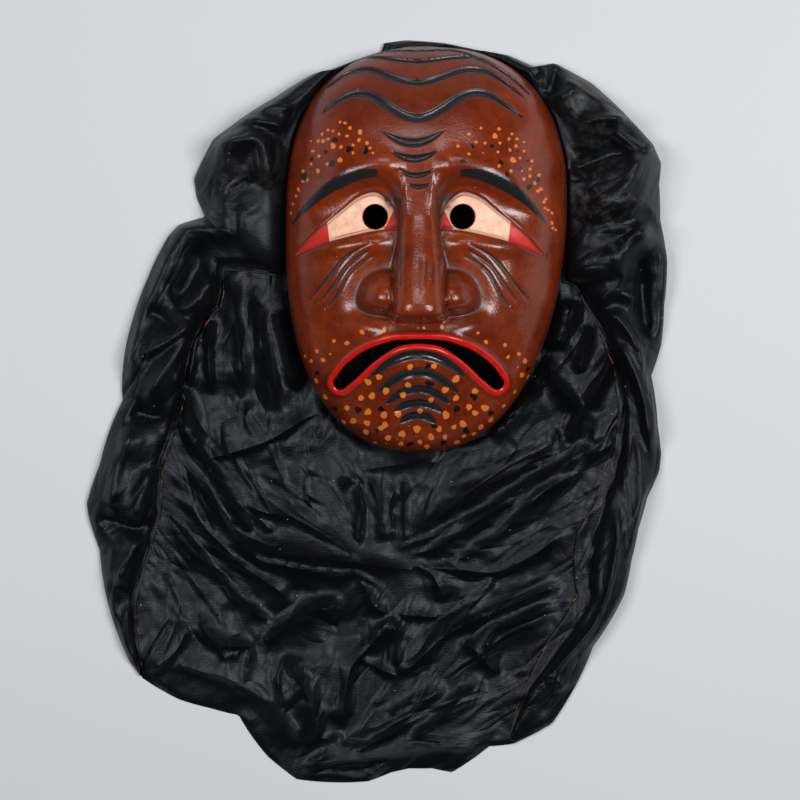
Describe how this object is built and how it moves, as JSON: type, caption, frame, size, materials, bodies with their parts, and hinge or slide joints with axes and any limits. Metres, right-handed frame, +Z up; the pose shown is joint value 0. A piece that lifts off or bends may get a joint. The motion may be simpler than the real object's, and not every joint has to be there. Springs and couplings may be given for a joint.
{
  "type": "carved dance mask",
  "caption": "Carved, painted wooden face mask with drooping eyes, a long nose and a downturned mouth, fixed in the mouth of a black cloth hood, lying face up.",
  "frame": {"origin": "middle of the bounding box, on the surface that the hood lies on", "axes": "+Z up out of the face, +Y from the chin to the forehead, +X to the right of someone looking at the face"},
  "size_m": [0.4042, 0.5168, 0.0982],
  "materials": {
    "painted_wood": "glossy red-brown lacquer paint on carved wood, black gouged wrinkles, red lips, cream eyes",
    "black_cloth": "thin black lining cloth, creased, with a faint sheen"
  },
  "bodies": {
    "root": {"mask": "painted_wood", "hood": "black_cloth"}
  },
  "joints": []
}
